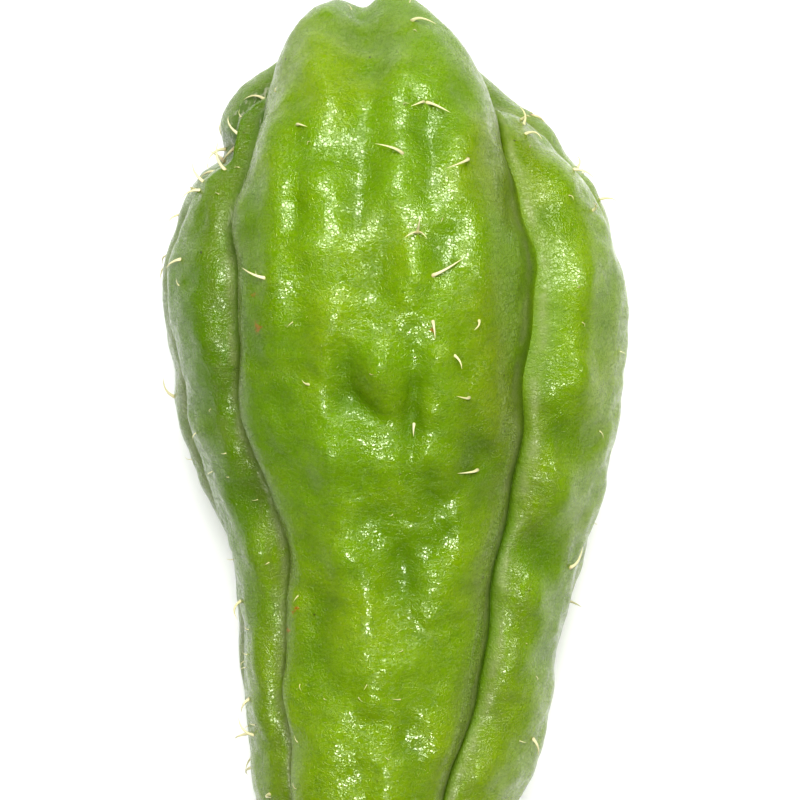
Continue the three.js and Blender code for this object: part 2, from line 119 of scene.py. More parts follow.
# Lumps and dents of the upper side, in mm: x, y, half length, half width, turn in degrees, rise
UPPER_SWELLS = np.array([
    [-12.5, 56.0, 8.0, 4.5, 8, 1.5],
    [-1.0, 54.0, 7.0, 3.4, -14, 1.5],
    [6.0, 57.0, 6.0, 3.4, -20, 1.2],
    [12.5, 45.0, 6.0, 4.0, -35, 1.5],
    [-21.4, 38.0, 7.5, 2.4, 4, 1.1],
    [-21.6, 20.5, 6.5, 2.6, -5, 1.2],
    [-17.8, 33.5, 6.5, 1.8, -6, -0.8],
    [-12.5, 42.5, 3.2, 4.5, 20, -0.6],
    [-12.8, 48.5, 5.0, 5.0, 0, 0.9],
    [-13.6, 36.0, 5.2, 5.2, 0, 1.2],
    [-14.2, 26.0, 5.2, 4.8, 0, 1.2],
    [-7.4, 34.5, 6.5, 3.0, -10, -1.3],
    [5.4, 44.5, 6.0, 2.6, 10, -1.0],
    [-0.6, 37.0, 6.5, 3.6, 6, 1.1],
    [8.0, 26.0, 5.0, 3.0, -30, -1.1],
    [11.0, 36.5, 5.5, 3.8, 14, 1.1],
    [13.0, 26.5, 5.5, 3.8, -6, 1.1],
    [14.0, 17.0, 8.0, 3.6, 8, 1.5],
    [2.0, 20.0, 7.0, 3.2, -6, 1.6],
    [-4.0, 22.0, 7.0, 2.8, -14, -1.1],
    [-12.0, 12.0, 7.0, 4.2, 0, 1.6],
    [-9.5, 4.0, 8.0, 2.4, 4, -1.5],
    [-5.5, -2.0, 4.5, 2.2, 52, -1.3],
    [-3.5, 6.0, 6.5, 3.2, 0, 1.9],
    [2.2, -2.0, 9.0, 1.6, -2, -1.5],
    [7.5, 5.0, 7.0, 3.0, 0, 1.4],
    [-12.5, -9.0, 7.0, 4.0, 0, 1.8],
    [-2.0, -12.0, 6.0, 3.4, 0, 0.9],
    [14.0, -11.0, 6.0, 3.4, 0, -2.1],
    [16.0, 1.0, 7.0, 3.6, 0, 1.4],
    [6.5, -19.0, 5.5, 4.0, 0, -1.4],
    [-9.5, -28.5, 7.0, 4.5, 12, 1.6],
    [11.0, -28.0, 5.5, 3.6, -20, 1.2],
    [1.0, -33.0, 7.0, 3.0, 0, -1.1],
    [-14.5, -40.0, 7.0, 3.4, 0, -1.1],
    [-5.0, -47.0, 9.0, 4.5, 12, 1.5],
    [-13.0, -62.0, 7.0, 3.4, 0, 1.2],
    [2.0, -60.0, 8.0, 3.2, 10, -1.0],
    [-3.0, -72.0, 7.0, 3.5, 0, 1.1],
    [7.5, -63.0, 6.0, 3.2, 0, 1.1],
    [-31.5, 32.0, 7.0, 3.0, 0, 1.6],
    [-33.0, 13.0, 9.0, 4.0, 0, 1.2],
    [-28.5, -8.0, 6.0, 3.5, 10, 1.6],
    [-26.5, -18.0, 4.0, 3.0, 0, -1.1],
    [-24.5, -28.5, 6.5, 3.0, 12, 1.9],
    [-23.5, -49.0, 6.5, 3.0, 5, 1.8],
    [-23.5, -57.0, 4.0, 3.0, 0, 1.1],
    [28.0, 39.0, 5.0, 4.0, 0, 2.0],
    [31.0, 21.0, 6.0, 3.0, -8, 2.0],
    [27.5, 32.0, 4.0, 4.0, 0, -1.2],
    [30.5, 3.5, 6.5, 3.6, 8, 2.1],
    [29.0, -6.0, 4.0, 4.5, 0, -1.5],
    [27.5, -16.0, 6.0, 3.4, 10, 1.8],
    [24.0, -27.0, 4.0, 4.5, 0, -1.4],
    [23.0, -35.0, 5.0, 3.4, 0, 1.8],
    [19.0, -48.0, 6.0, 3.2, -10, 1.5],
    [15.0, -66.0, 7.0, 2.6, -12, 1.2],
    [-34.5, 44.6, 2.2, 4.6, -26, -4.2],
])

# Lumps and dents of the outline, in mm: x, y, z, half length, half width, rise
SIDE_SWELLS = [
    (-34.0, 45.2, 34.0, 2.6, 8.0, -4.6),
    (-30.0, 58.0, 31.0, 5.0, 7.0, 1.0),
    (-21.0, 68.0, 39.0, 5.5, 8.0, -4.4),
    (-24.5, 63.0, 43.0, 8.0, 7.0, -4.2),
    (13.5, 65.0, 42.0, 6.0, 7.0, -2.6),
    (29.0, 51.0, 36.0, 5.0, 8.0, 1.8),
    (20.0, 54.0, 40.0, 2.2, 6.0, -2.0),
    (38.0, 40.0, 38.0, 3.5, 7.0, 1.2),
    (42.0, 27.0, 36.0, 3.0, 7.0, -0.9),
    (40.0, -5.0, 32.0, 5.0, 7.0, 1.1),
    (-42.0, 24.0, 36.0, 6.0, 7.0, 1.0),
    (-39.0, -4.0, 32.0, 5.0, 7.0, 1.2),
    (-33.0, -24.0, 28.0, 4.0, 6.0, -0.9),
]

# Round lumps and dents that are drawn for the sides and the underside
DRAWN_SWELLS = 190

# Fine unevenness of the skin: grain size and height in mm
RIPPLES = [(5.2, 0.5), (2.6, 0.24)]

# Spines of the upper side, in mm: foot x, foot y, lean x, lean y, height of the tip over the skin
UPPER_SPINES = [
    (4.3, 51.3, -2.8, -1.2, 1.8),
    (4.3, 51.3, 4.0, -2.2, 1.8),
    (0.9, 42.1, -5.3, 0.9, 2.0),
    (12.2, 41.4, -5.6, -2.3, 2.0),
    (3.0, 28.7, -2.5, -1.7, 2.2),
    (3.0, 28.7, 0.2, 2.0, 2.6),
    (3.0, 28.7, 1.4, -1.8, 2.4),
    (5.2, 20.9, 4.9, 3.5, 2.0),
    (-23.0, 20.7, -2.8, 2.1, 1.8),
    (-17.9, 47.5, 2.6, -1.0, 1.4),
    (13.7, 13.7, -1.6, -1.2, 1.6),
    (9.4, 7.8, 0.2, -2.2, 1.6),
    (12.2, 0.3, -3.2, 0.9, 1.6),
    (13.9, -12.2, -4.4, -0.2, 1.6),
    (5.6, 13.6, 0.2, -3.0, 1.2),
    (2.4, -4.0, 0.1, -1.8, 1.2),
    (1.7, 66.5, 4.4, -2.6, 1.8),
    (-15.7, 2.6, -0.6, 1.0, 1.4),
    (-38.6, 25.0, -1.6, -1.8, 1.4),
    (-31.5, 43.0, -2.6, 1.6, 1.6),
    (-29.5, 45.5, -1.4, -3.0, 1.6),
]

# Spines that are drawn for the sides and both ends, with sizes in mm. They stand between two sections,
# above a lowest height, where the skin faces up by less than a share. The thickness is the half width
# of the foot, and the root is sunk by a share of the spine's rise.
SPINE_SEED = 900
SPINE_TRIES = 110
SPINE_FROM = 2.6
SPINE_TO = 12.2
SPINE_LOWEST = 7.0
SPINE_UP_TO = 0.5
SPINE_LENGTH = (2.6, 5.2)
SPINE_LIFT = (1.2, 2.4)
SPINE_THICK = 0.8
SPINE_ROOT = 0.9
SPINE_BEND = 1.5
SPINE_SIDES = 8
SPINE_STEPS = 12

# Short bristles between the spines, with sizes in mm
BRISTLE_SEED = 2000
BRISTLE_TRIES = 90
BRISTLE_UP_TO = 2.0
BRISTLE_LENGTH = (0.7, 1.8)
BRISTLE_LIFT = (0.5, 1.0)
BRISTLE_THICK = 0.3

# Cut stump of the stem, in mm: its fibres have a count, a height and a twist, and the hollow of its cut
# has shares of the radius, each with a depth
STUMP_DEEP = -79.9
STUMP_OUT = -93.0
STUMP_RADIUS = 2.7
STUMP_RIDGES = 5
STUMP_RIDGE = 0.25
STUMP_FLARE = 0.5
STUMP_FIBRES = [(31, 0.05, 9), (47, 0.04, -6)]
STUMP_HOLLOW = [(0.2, 0.5), (0.5, 0.35), (0.8, 0.12)]
STUMP_COLUMNS = 80
STUMP_ROWS = 48

# Small brown scars, in mm: x, y, radius
SCARS = [(-24.6, 12.5, 1.1), (-25.0, 18.2, 0.8), (-18.5, -37.0, 0.9), (-19.8, -41.0, 0.6), (5.6, 11.8, 0.7)]

# A painted highlight runs along the rim of each lobe beside each furrow: its middle and half width as shares
# of half a lobe
RIM_MIDDLE = 0.9
RIM_HALF = 0.05

# Painted shade with the skin's pale fibrous strands on the left-facing flank: where it starts and how wide it
# fades in, as shares of half a lobe, how soon it sets in as the skin turns left, and its middle and half
# length, in mm
SHADED_FLANK_FROM = 0.80
SHADED_FLANK_WIDTH = 0.15
SHADED_FLANK_FACING = 1.5
SHADED_FLANK_ALONG = 50.0
SHADED_FLANK_HALF = 18.0

# Grain of the skin's colours, in metres
PATCH_SIZE = 0.022
MOTTLE_SIZE = 0.0035
SPECK_SIZE = 0.0005
FIBRE_SIZE = 0.0012
STRAND_SIZE = 0.0009
TORN_SIZE = 0.0011
FLECK_GAP = 0.0016
PORE_GAP = 0.006

# Fine relief of the skin, in metres: grain and height of the crumpling, grain of the wrinkles, gap of
# the scales, grains to a metre and reach of what shakes them, depth of the creases, rise of the strands
CRUMPLE_SIZE = 0.0018
CRUMPLE_RISE = 0.00018
WRINKLE_SIZE = 0.0016
SCALE_GAP = 0.00058
SHAKE_SCALE = 1500.0
SHAKE = 0.0005
CREASE_DEPTH = 0.00003
STRAND_RISE = 0.00015

# Half width of the floor, in metres
FLOOR_HALF = 3.0

# Strength of the surroundings at the horizon and overhead, and the soft lights: name, place, width
# and height, power
HORIZON_LIGHT = 0.05
OVERHEAD_LIGHT = 0.01
SOFT_LIGHTS = [
    ("main_light", (-0.02, 0.33, 0.92), (0.60, 0.44), 10.0),
    ("blossom_side_light", (0.04, 0.66, 0.70), (0.26, 0.14), 0.9),
    ("stem_side_light", (-0.05, -0.46, 0.82), (0.30, 0.16), 2.3),
    ("right_light", (0.50, 0.06, 0.80), (0.12, 0.38), 1.3),
]

# Camera straight above the fruit: height, height of the fruit's widest outline, and metres a pixel there
CAMERA_HEIGHT = 0.70
OUTLINE_HEIGHT = 0.0328
PIXEL = 0.00018
HALF_PICTURE = 400

# Linear colours
LIGHT_GREEN = (0.204, 0.292, 0.003)
SKIN_GREEN = (0.150, 0.258, 0.002)
DARK_GREEN = (0.070, 0.145, 0.001)
OLIVE_GREEN = (0.160, 0.222, 0.001)
# Pale grey-green: painted reflection on the furrow walls, and the skin's own pale flecks
REFLECTION_AND_FLECK_GREEN = (0.15, 0.19, 0.045)
# Painted highlight along the lobes' rims
RIM_HIGHLIGHT = (0.25, 0.28, 0.13)
STRAND_PALE = (0.36, 0.38, 0.26)
SCAR_BROWN = (0.30, 0.13, 0.002)
PORE_BROWN = (0.04, 0.03, 0.01)
SPINE_CREAM = (0.66, 0.62, 0.38)
SPINE_BROWN = (0.20, 0.12, 0.03)
STUMP_TAN = (0.36, 0.30, 0.13)
STUMP_GREEN = (0.16, 0.20, 0.04)
CUT_PALE = (0.46, 0.38, 0.20)
FLOOR_WHITE = (0.95, 0.95, 0.95)


def draw(index):
    """A repeatable draw between 0 and 1."""
    value = np.sin(np.asarray(index) * 12.9898 + 4.137) * 43758.5453
    return value - np.floor(value)


def mix(low, high, share):
    return low + (high - low) * share


def spline(table, t):
    """Smooth curve through the rows of a table, with the row number as its length."""
    t = np.asarray(t, float)
    last = len(table) - 1
    i = np.clip(np.floor(t).astype(int), 0, last - 1)
    f = (t - i)[..., None]
    a, b, c, d = (table[np.clip(i + step, 0, last)] for step in (-1, 0, 1, 2))
    return b + 0.5 * f * (c - a + f * (2 * a - 5 * b + 4 * c - d + f * (3 * (b - c) + d - a)))


def even_rows(count):
    """Section numbers that space the rows evenly along the skin."""
    t = np.linspace(0, len(SECTIONS) - 1, 3001)
    section = spline(SECTIONS, t)
    out = (section[:, WIDE] + section[:, HIGH]) / 2
    run = np.concatenate([[0], np.cumsum(np.hypot(np.diff(section[:, ALONG]), np.diff(out)))])
    return np.interp(np.linspace(0, run[-1], count), run, t)


def drawn_swells():
    """Middle, size and rise of every drawn lump and dent."""
    i = np.arange(DRAWN_SWELLS)
    section = spline(SECTIONS, 2.5 + 10 * draw(5 * i))
    angle = 2 * np.pi * draw(5 * i + 1)
    middle = np.stack([
        section[:, MID_X] + section[:, WIDE] * np.cos(angle),
        section[:, ALONG],
        section[:, MID_Z] + section[:, HIGH] * np.sin(angle),
    ], -1)
    size = 4.0 + 3.5 * draw(5 * i + 2)
    sign = np.where(draw(5 * i + 4) > 0.42, 1, -1)
    return list(zip(middle, size, sign * (0.45 + 0.75 * draw(5 * i + 3))))


DRAWN = drawn_swells()


def swell(point, out):
    """Height of the lumps and dents at points whose skin faces along out."""
    x, y, z = point[..., 0], point[..., 1], point[..., 2]
    up = np.clip(out[..., 2] * 1.6, 0, 1)
    upper = np.zeros(x.shape)
    for mid_x, mid_y, long, across, turn, rise in UPPER_SWELLS:
        angle = math.radians(turn)
        along_share = ((y - mid_y) * math.cos(angle) - (x - mid_x) * math.sin(angle)) / long
        across_share = ((x - mid_x) * math.cos(angle) + (y - mid_y) * math.sin(angle)) / across
        upper += rise * np.exp(-(along_share ** 2 + across_share ** 2))
    side = np.zeros(x.shape)
    for mid_x, mid_y, mid_z, long, width, rise in SIDE_SWELLS:
        away = ((y - mid_y) / long) ** 2 + ((x - mid_x) ** 2 + (z - mid_z) ** 2) / width ** 2
        side += rise * np.exp(-away)
    drawn = np.zeros(x.shape)
    for middle, size, rise in DRAWN:
        away = (x - middle[0]) ** 2 + ((y - middle[1]) / 1.5) ** 2 + (z - middle[2]) ** 2
        drawn += rise * np.exp(-away / size ** 2)
    return upper * up + side + drawn * (1 - 0.6 * up)


def ripple(point, size):
    """Smooth even noise between -1 and 1, with grains of one size."""
    cell = np.floor(point / size).astype(int)
    share = point / size - cell
    share = share * share * (3 - 2 * share)
    total = np.zeros(point.shape[:-1])
    for corner in np.ndindex(2, 2, 2):
        place = cell + np.array(corner)
        value = draw(place[..., 0] * 1.31 + place[..., 1] * 7.77 + place[..., 2] * 17.13)
        weight = np.prod(np.where(np.array(corner) == 1, share, 1 - share), axis=-1)
        total += (2 * value - 1) * weight
    return total


def furrow_angles(t):
    """Angles of the five furrows at each section, in degrees."""
    section = spline(SECTIONS, t)
    relief = np.clip(section[..., RELIEF], 0, 1)[..., None]
    index = np.arange(len(FURROW_SHARE))
    turn = sum(
        wave_turn * np.sin(pace * section[..., ALONG, None] + shift * index + start)
        for wave_turn, pace, shift, start in WANDER)
    return spline(FURROW_ANGLES, t) + turn * relief


def facing(t, angle):
    """Direction in which the smooth body faces at a section and an angle."""
    step = 0.02
    slope = spline(SECTIONS, t + step) - spline(SECTIONS, t - step)
    section = spline(SECTIONS, t)
    along = np.stack([
        slope[..., MID_X] + slope[..., WIDE] * np.cos(angle),
        slope[..., ALONG] + 0 * angle,
        slope[..., MID_Z] + slope[..., HIGH] * np.sin(angle),
    ], -1)
    around = np.stack([
        -section[..., WIDE] * np.sin(angle),
        0 * angle,
        section[..., HIGH] * np.cos(angle),
    ], -1)
    out = np.cross(along, around)
    return out / np.linalg.norm(out, axis=-1, keepdims=True)


def skin(t, lobe, u):
    """Points of the skin in mm, the way they face, and how deep, dented and near a lobe's rim they are."""
    section = spline(SECTIONS, t)
    relief = np.clip(section[..., RELIEF], 0, 1)
    following = (lobe + 1) % len(LOBE_RISE)
    share = (u + 1) / 2
    angles = furrow_angles(t)
    angles = np.broadcast_to(angles, np.broadcast(t, lobe).shape + angles.shape[-1:])
    first = np.take_along_axis(angles, np.broadcast_to(lobe, angles.shape[:-1])[..., None], -1)[..., 0]
    last = np.take_along_axis(angles, np.broadcast_to(following, angles.shape[:-1])[..., None], -1)[..., 0]
    last = last + np.where(following == 0, 360, 0)
    angle = np.radians(mix(first, last, share))
    side = np.where((u < 0)[..., None], FIRST_SIDE[lobe], LAST_SIDE[lobe])
    square, wall = side[..., 0], side[..., 1]
    nearest = np.where(u < 0, lobe, following)
    for furrow, middle, half, square_left, extra_wall in SOFT_FURROWS:
        near = np.exp(-((section[..., ALONG] - middle) / half) ** 2) * (nearest == furrow)
        square = mix(square, square * square_left, near)
        wall = wall + extra_wall * near
    bulge = np.clip(1 - np.abs(u) ** square, 0, 1) ** wall
    furrow_reach = mix(FURROW_REACH[lobe], FURROW_REACH[following], share)
    pushed = mix(furrow_reach, LOBE_REACH[lobe], (1 - u ** 4) ** 2)
    point = np.stack([
        section[..., MID_X] + section[..., WIDE] * np.cos(angle),
        section[..., ALONG] + pushed * section[..., REACH],
        section[..., MID_Z] + section[..., HIGH] * np.sin(angle),
    ], -1)
    out = facing(t, angle)
    depth = np.clip(section[..., FURROW], 0, None) * mix(FURROW_SHARE[lobe], FURROW_SHARE[following], share)
    line = np.clip(section[..., GROOVE], 0, None) * LOBE_GROOVE[lobe] * np.exp(-(u / GROOVE_WIDTH) ** 2)
    height = LOBE_RISE[lobe] * relief * bulge - depth * (1 - bulge) - line
    point = point + out * height[..., None]
    lumps = swell(point, out) + sum(rise * ripple(point, size) for size, rise in RIPPLES)
    lumps = lumps * relief * np.sqrt(bulge)
    point = point + out * lumps[..., None]
    point[..., 2] = np.maximum(point[..., 2] - SINK, 0)
    rim = np.exp(-((np.abs(u) - RIM_MIDDLE) / RIM_HALF) ** 2)
    return point, out, 1 - bulge, lumps, rim


def lofted(name, rows, ends):
    """Closed mesh over rows of points that run round it, in mm, with a point at each end."""
    count, columns = rows.shape[:2]
    points = np.concatenate([rows.reshape(-1, 3), ends])
    start, end = len(points) - 2, len(points) - 1
    column = np.arange(columns)
    following = (column + 1) % columns
    faces = []
    for row in range(0, (count - 1) * columns, columns):
        faces += np.stack([
            row + column, row + columns + column, row + columns + following, row + following], -1).tolist()
    last = (count - 1) * columns
    faces += [[start, a, b] for a, b in zip(column.tolist(), following.tolist())]
    faces += [[end, last + b, last + a] for a, b in zip(column.tolist(), following.tolist())]
    mesh = bpy.data.meshes.new(name)
    mesh.from_pydata(((points - MIDDLE) * MM).tolist(), [], faces)
    mesh.shade_smooth()
    mesh.update()
    return mesh


def placed(name, mesh, material):
    """Object at the origin with one material."""
    if material is not None:
        mesh.materials.clear()
        mesh.materials.append(material)
    piece = bpy.data.objects.new(name, mesh)
    bpy.context.scene.collection.objects.link(piece)
    return piece


def store(mesh, name, values, ends):
    """Keeps one number for each point, with the values of the two end points last."""
    attribute = mesh.attributes.new(name, "FLOAT", "POINT")
    attribute.data.foreach_set("value", np.concatenate([values.ravel(), ends]).astype(np.float32))


class Value:
    """A shader socket that can be used in sums and products."""

    def __init__(self, paint, socket):
        self.paint = paint
        self.socket = socket

    def combined(self, operation, first, second):
        return self.paint.node("ShaderNodeMath", {"operation": operation}, {0: first, 1: second})[0]

    def __add__(self, other):
        return self.combined("ADD", self, other)

    def __radd__(self, other):
        return self.combined("ADD", other, self)

    def __sub__(self, other):
        return self.combined("SUBTRACT", self, other)

    def __rsub__(self, other):
        return self.combined("SUBTRACT", other, self)

    def __mul__(self, other):
        return self.combined("MULTIPLY", self, other)

    def __rmul__(self, other):
        return self.combined("MULTIPLY", other, self)

    def over(self, low, high):
        """0 below low and 1 above high, smooth between."""
        settings = {"interpolation_type": "SMOOTHSTEP"}
        return self.paint.node("ShaderNodeMapRange", settings, {"Value": self, 1: low, 2: high})[0]


class Paint:
    """A material and its nodes."""

    def __init__(self, name):
        self.material = bpy.data.materials.new(name)
        self.material.use_nodes = True
        self.tree = self.material.node_tree
        self.surface = self.tree.nodes["Principled BSDF"]

    def feed(self, socket, value):
        """Links a value to a socket, or sets it."""
        if isinstance(value, Value):
            self.tree.links.new(value.socket, socket)
        elif isinstance(value, tuple) and len(value) == 3 and socket.type == "RGBA":
            socket.default_value = (*value, 1)
        else:
            socket.default_value = value

    def node(self, kind, settings, values):
        """Adds a node, sets it up and returns its outputs."""
        node = self.tree.nodes.new(kind)
        for name, setting in settings.items():
            setattr(node, name, setting)
        for key, value in values.items():
            self.feed(node.inputs[key], value)
        return [Value(self, output) for output in node.outputs]

    def place(self):
        """Object coordinates, in metres."""
        return self.node("ShaderNodeTexCoord", {}, {})[3]

    def own(self, name):
        """A number that the mesh keeps for each point."""
        return self.node("ShaderNodeAttribute", {"attribute_name": name}, {})[2]

    def noise(self, where, size, detail=3.0, roughness=0.5):
        """Noise from 0 to 1 whose grains are about size metres across."""
        return self.node("ShaderNodeTexNoise", {}, {
            "Vector": where, "Scale": 1 / size, "Detail": detail, "Roughness": roughness})[0]

    def cells(self, where, size, feature="F1"):
        """Distance to the nearest of points scattered about size metres apart, or to a cell's edge."""
        return self.node("ShaderNodeTexVoronoi", {"feature": feature}, {"Vector": where, "Scale": 1 / size})[0]

    def stretched(self, where, scale):
        return self.node("ShaderNodeMapping", {}, {"Vector": where, "Scale": scale})[0]

    def blend(self, share, low, high):
        """One colour turning into another."""
        node = self.tree.nodes.new("ShaderNodeMix")
        node.data_type = "RGBA"
        self.feed(node.inputs[0], share)
        self.feed(node.inputs[6], low)
        self.feed(node.inputs[7], high)
        return Value(self, node.outputs[2])

    def bump(self, height, distance, strength=1.0, below=None):
        values = {"Height": height, "Distance": distance, "Strength": strength}
        if below is not None:
            values["Normal"] = below
        return self.node("ShaderNodeBump", {}, values)[0]

    def finish(self, **values):
        """Feeds the surface: names are its sockets in small letters, with _ for spaces."""
        for name, value in values.items():
            self.feed(self.surface.inputs[name.replace("_", " ").title().replace("Ior", "IOR")], value)
        return self.material


def skin_colour(paint, where, mottle, flank_shade_and_strands, strands):
    """Yellow-green and olive on the right shoulder, with painted shade on the left, in dents and in furrows, a
    painted reflection on the furrow walls and a painted highlight along the lobes' rims.
    """
    furrow = paint.own("furrow")
    lump = paint.own("lump")
    rim = paint.own("rim")
    across, along, _ = paint.node("ShaderNodeSeparateXYZ", {}, {0: where})
    patches = paint.noise(where, PATCH_SIZE, detail=4, roughness=0.55)
    specks = paint.noise(where, SPECK_SIZE, detail=2)
    fibres = paint.noise(paint.stretched(where, (1.0, 0.16, 1.0)), FIBRE_SIZE, detail=3)

    colour = paint.blend(patches.over(0.40, 0.66) * 0.7, SKIN_GREEN, LIGHT_GREEN)
    colour = paint.blend((1 - along.over(-0.06, 0.0)) * 0.6, colour, LIGHT_GREEN)
    colour = paint.blend(across.over(0.026, 0.034) * 0.5, colour, LIGHT_GREEN)
    olive = across.over(0.008, 0.020) * (1 - across.over(0.024, 0.032)) * along.over(-0.02, 0.01)
    colour = paint.blend(olive * (0.3 + 0.5 * patches.over(0.38, 0.55)), colour, OLIVE_GREEN)
    # Painted shade: the left side, which faces away from the lights, is darkened
    colour = paint.blend((1 - across.over(-0.032, -0.016)) * 0.6, colour, DARK_GREEN)
    # Painted shade: darker green in the dents
    colour = paint.blend((1 - lump.over(-1.5, 0.8)) * 0.6, colour, DARK_GREEN)
    colour = paint.blend(mottle.over(0.45, 0.75) * 0.30, colour, DARK_GREEN)
    colour = paint.blend(specks.over(0.45, 0.70) * 0.35, colour, DARK_GREEN)

    # Painted shade deep in the furrows, weaker on the open upper right side
    open_side = across.over(0.006, 0.018) * along.over(-0.01, 0.02)
    colour = paint.blend(furrow.over(0.35, 1.0) * (1 - 0.8 * open_side) * 0.65, colour, DARK_GREEN)
    # Painted reflection of the white surroundings: pale grey-green on the furrow walls, broken by fibres
    wall = furrow.over(0.05, 0.30) * (1 - furrow.over(0.70, 1.0))
    colour = paint.blend(wall * fibres.over(0.30, 0.62) * (1 - open_side) * 0.40, colour, REFLECTION_AND_FLECK_GREEN)
    # Painted highlight along each lobe's rim beside the furrows
    colour = paint.blend(rim * mottle.over(0.30, 0.60) * 0.5, colour, RIM_HIGHLIGHT)
    # Painted shade on the left-facing flank, with the skin's pale strands over it
    colour = paint.blend(flank_shade_and_strands.over(0.05, 0.40) * 0.75, colour, DARK_GREEN)
    colour = paint.blend(flank_shade_and_strands.over(0.10, 0.45) * strands * 0.85, colour, STRAND_PALE)

    flecks = 1 - paint.cells(where, FLECK_GAP).over(0.08, 0.22)
    some = paint.noise(where, 0.009, detail=1).over(0.50, 0.66)
    colour = paint.blend(flecks * some * 0.5, colour, REFLECTION_AND_FLECK_GREEN)
    pores = (1 - paint.cells(where, PORE_GAP).over(0.02, 0.05)) * patches.over(0.40, 0.55)
    return paint.blend(pores * 0.9, colour, PORE_BROWN)


def scarred(paint, where, colour):
    """Adds the ragged brown scars."""
    torn = paint.noise(where, TORN_SIZE, detail=3, roughness=0.7)
    flat = paint.node("ShaderNodeVectorMath", {"operation": "MULTIPLY"}, {0: where, 1: (1.0, 1.0, 0.0)})[0]
    for x, y, radius in SCARS:
        middle = tuple((np.array([x, y, 0]) - MIDDLE) * MM)
        away = paint.node("ShaderNodeVectorMath", {"operation": "DISTANCE"}, {0: flat, 1: middle})[1]
        ragged = away + (torn - 0.5) * (4.0 * radius * MM)
        core = 1 - ragged.over(0.3 * radius * MM, 0.7 * radius * MM)
        colour = paint.blend(core * 0.85, colour, SCAR_BROWN)
    return colour


def skin_paint():
    """Waxy skin: a crumpled gloss broken by fine creases and scales, duller in furrows and on the left flank
    with its painted shade and strands.
    """
    paint = Paint("chayote_skin")
    where = paint.place()
    mottle = paint.noise(where, MOTTLE_SIZE, detail=4, roughness=0.6)
    flank_shade_and_strands = paint.own("flank_shade_and_strands")
    strands = paint.noise(paint.stretched(where, (1.0, 0.10, 1.0)), STRAND_SIZE, detail=2).over(0.52, 0.66)
    colour = scarred(paint, where, skin_colour(paint, where, mottle, flank_shade_and_strands, strands))

    crumple = paint.noise(where, CRUMPLE_SIZE, detail=3, roughness=0.5)
    wrinkle = paint.noise(paint.stretched(where, (0.6, 1.3, 1.0)), WRINKLE_SIZE, detail=4, roughness=0.6)
    crack = wrinkle.over(0.46, 0.50) * (1 - wrinkle.over(0.50, 0.54))
    shaken = paint.node("ShaderNodeTexNoise", {}, {"Vector": where, "Scale": SHAKE_SCALE, "Detail": 1.0})[1]
    warped = paint.node("ShaderNodeVectorMath", {"operation": "MULTIPLY_ADD"}, {
        0: shaken, 1: (SHAKE, SHAKE, SHAKE), 2: where})[0]
    scale = paint.cells(warped, SCALE_GAP, "DISTANCE_TO_EDGE").over(0.0, 0.13)
    relief = paint.bump(crumple, CRUMPLE_RISE)
    relief = paint.bump(1 - crack, CREASE_DEPTH, below=relief)
    relief = paint.bump(scale, CREASE_DEPTH, below=relief)
    relief = paint.bump(flank_shade_and_strands.over(0.05, 0.40) * strands, STRAND_RISE, below=relief)
    furrow = paint.own("furrow")
    dull = 0.09 + mottle.over(0.4, 0.7) * 0.04 + crack * 0.25 + furrow.over(0.2, 0.9) * 0.30 + flank_shade_and_strands * 0.3
    return paint.finish(base_color=colour, roughness=dull, normal=relief, ior=1.5, specular_ior_level=0.57)


def spine_paint():
    """Cream spines with brown feet."""
    paint = Paint("chayote_spine")
    where = paint.place()
    along = paint.own("along")
    uneven = paint.noise(where, 0.0012, detail=2)
    colour = paint.blend(along.over(0.08, 0.34) + (uneven - 0.5) * 0.4, SPINE_BROWN, SPINE_CREAM)
    relief = paint.bump(paint.noise(where, 0.0003), 0.00005, 0.5)
    return paint.finish(base_color=colour, roughness=0.5, normal=relief)


def stump_paint():
    """Dry ridged stem, greener near the fruit, with a pale fibrous cut."""
    paint = Paint("stem_stump")
    where = paint.place()
    cut = paint.own("cut")
    deep = paint.own("deep")
    fibres = paint.noise(paint.stretched(where, (1.0, 0.08, 1.0)), 0.0006, detail=4, roughness=0.65)
    blotch = paint.noise(where, 0.003, detail=3)
    colour = paint.blend(deep.over(0.2, 0.9), STUMP_TAN, STUMP_GREEN)
    colour = paint.blend(fibres.over(0.4, 0.75) * 0.6, colour, SCAR_BROWN)
    colour = paint.blend(blotch.over(0.5, 0.75) * 0.4, colour, CUT_PALE)
    colour = paint.blend(cut * (0.6 + 0.4 * fibres), colour, CUT_PALE)
    relief = paint.bump(fibres, 0.0003, 0.8)
    return paint.finish(base_color=colour, roughness=0.8, normal=relief)


def floor_paint():
    paint = Paint("pale_floor")
    return paint.finish(base_color=FLOOR_WHITE, roughness=0.9)


